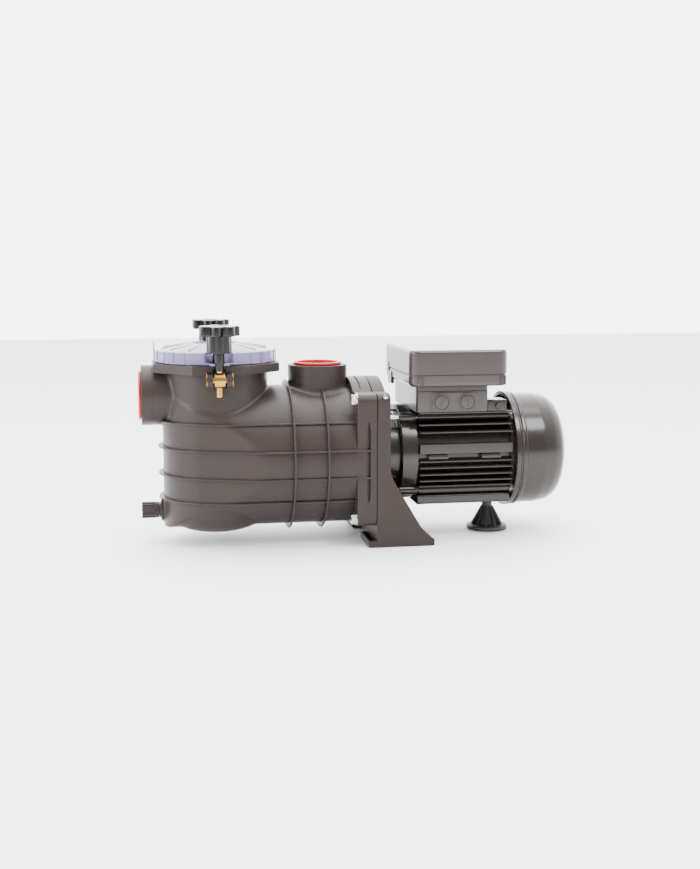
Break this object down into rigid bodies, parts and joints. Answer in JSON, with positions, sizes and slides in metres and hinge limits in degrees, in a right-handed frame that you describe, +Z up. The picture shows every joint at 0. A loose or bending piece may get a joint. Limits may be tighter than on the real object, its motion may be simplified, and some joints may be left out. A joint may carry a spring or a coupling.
{
  "type": "swimming pool pump",
  "caption": "Self-priming pool pump with a clear-lidded strainer pot, ribbed casing, foot bracket, finned motor and terminal box.",
  "frame": {"origin": "on the ground under the shaft, midway along the foot plates", "axes": "+X along the shaft from the suction port to the motor's fan, -Y towards the side with the cable entries, +Z up"},
  "size_m": [0.5461, 0.2108, 0.2736],
  "materials": {
    "casing_plastic": "dark warm grey glass-filled plastic, satin, fine moulded grain",
    "bracket_plastic": "dark warm grey plastic, a little rougher than the casing",
    "lid_plastic": "clear polycarbonate with a pale lavender tint",
    "black_plastic": "glossy black plastic",
    "box_plastic": "glossy dark grey plastic",
    "motor_paint": "glossy black paint over cast and pressed metal",
    "red_plastic": "bright red polyethylene",
    "white_plastic": "white moulded plastic",
    "rubber": "black rubber",
    "steel": "stainless and zinc plated steel",
    "brass": "machined brass",
    "copper": "varnished copper winding",
    "lamination": "stacked electrical steel",
    "ceramic": "lapped ceramic",
    "alloy": "die cast aluminium"
  },
  "bodies": {
    "root": {"strainer_pot": "casing_plastic", "pump_casing": "casing_plastic", "suction_port": "casing_plastic", "discharge_port": "casing_plastic", "strainer_lid": "lid_plastic", "lid_seal": "rubber", "strainer_basket": "white_plastic", "diffuser": "black_plastic", "seal_plate": "black_plastic", "seal_seat": "ceramic", "casing_seal": "rubber", "casing_bolt_1": "steel", "casing_bolt_2": "steel", "casing_bolt_3": "steel", "casing_bolt_4": "steel", "motor_bracket": "bracket_plastic", "front_endshield": "motor_paint", "stator_frame": "motor_paint", "stator_core": "lamination", "front_winding": "copper", "rear_winding": "copper", "front_bearing": "steel", "rear_bearing": "steel", "rear_endshield": "alloy", "fan_cover": "motor_paint", "tie_bolt_1": "steel", "tie_bolt_2": "steel", "tie_bolt_3": "steel", "tie_bolt_4": "steel", "terminal_neck": "box_plastic", "terminal_tray": "box_plastic", "terminal_gasket": "rubber", "terminal_cover": "box_plastic", "run_capacitor": "alloy", "terminal_block": "white_plastic", "blind_plug_1": "black_plastic", "blind_plug_2": "black_plastic", "rear_foot": "rubber", "foot_stud": "steel"},
    "rotor": {"shaft": "steel", "rotor_core": "lamination", "impeller": "black_plastic", "impeller_nut": "steel", "seal_head": "steel", "slinger": "rubber", "cooling_fan": "black_plastic"},
    "front_clamp": {"front_swivel": "brass"},
    "front_carrier": {"front_collar": "black_plastic"},
    "front_grip": {"front_knob": "black_plastic", "front_stud": "brass"},
    "rear_clamp": {"rear_swivel": "brass"},
    "rear_carrier": {"rear_collar": "black_plastic"},
    "rear_grip": {"rear_knob": "black_plastic", "rear_stud": "brass"},
    "suction_stopper": {"suction_cap": "red_plastic"},
    "discharge_stopper": {"discharge_cap": "red_plastic"},
    "drain_carrier": {"drain_seal": "rubber"},
    "drain_screw": {"drain_plug": "casing_plastic"}
  },
  "joints": [
    {"name": "rotor_spin", "type": "hinge", "parent": "root", "child": "rotor", "pos_m": [0.05, 0, 0.1063], "axis": [1, 0, 0], "continuous": true},
    {"name": "front_clamp_swing", "type": "hinge", "parent": "root", "child": "front_clamp", "pos_m": [-0.221, -0.081, 0.209], "axis": [1, 0, 0], "range_deg": [0, 30]},
    {"name": "front_knob_lift", "type": "slide", "parent": "front_clamp", "child": "front_carrier", "axis": [0, 0, 1], "range_m": [0, 0.00501]},
    {"name": "front_knob_turn", "type": "hinge", "parent": "front_carrier", "child": "front_grip", "pos_m": [-0.221, -0.081, 0.25], "axis": [0, 0, 1], "range_deg": [0, 1440]},
    {"name": "rear_clamp_swing", "type": "hinge", "parent": "root", "child": "rear_clamp", "pos_m": [-0.221, 0.081, 0.209], "axis": [-1, 0, 0], "range_deg": [0, 30]},
    {"name": "rear_knob_lift", "type": "slide", "parent": "rear_clamp", "child": "rear_carrier", "axis": [0, 0, 1], "range_m": [0, 0.00501]},
    {"name": "rear_knob_turn", "type": "hinge", "parent": "rear_carrier", "child": "rear_grip", "pos_m": [-0.221, 0.081, 0.25], "axis": [0, 0, 1], "range_deg": [0, 1440]},
    {"name": "suction_cap_pull", "type": "slide", "parent": "root", "child": "suction_stopper", "axis": [-1, 0, 0], "range_m": [0, 0.045]},
    {"name": "discharge_cap_pull", "type": "slide", "parent": "root", "child": "discharge_stopper", "axis": [0, 0, 1], "range_m": [0, 0.045]},
    {"name": "drain_plug_lift", "type": "slide", "parent": "root", "child": "drain_carrier", "axis": [-1, 0, 0], "range_m": [0, 0.0067]},
    {"name": "drain_plug_turn", "type": "hinge", "parent": "drain_carrier", "child": "drain_screw", "pos_m": [-0.3, 0, 0.0395], "axis": [-1, 0, 0], "range_deg": [0, 1800]}
  ],
  "couplings": [
    {"joint": "front_knob_lift", "follows": "front_knob_turn", "m_per_rad": 0.00019894},
    {"joint": "rear_knob_lift", "follows": "rear_knob_turn", "m_per_rad": 0.00019894},
    {"joint": "drain_plug_lift", "follows": "drain_plug_turn", "m_per_rad": 0.00021279}
  ]
}
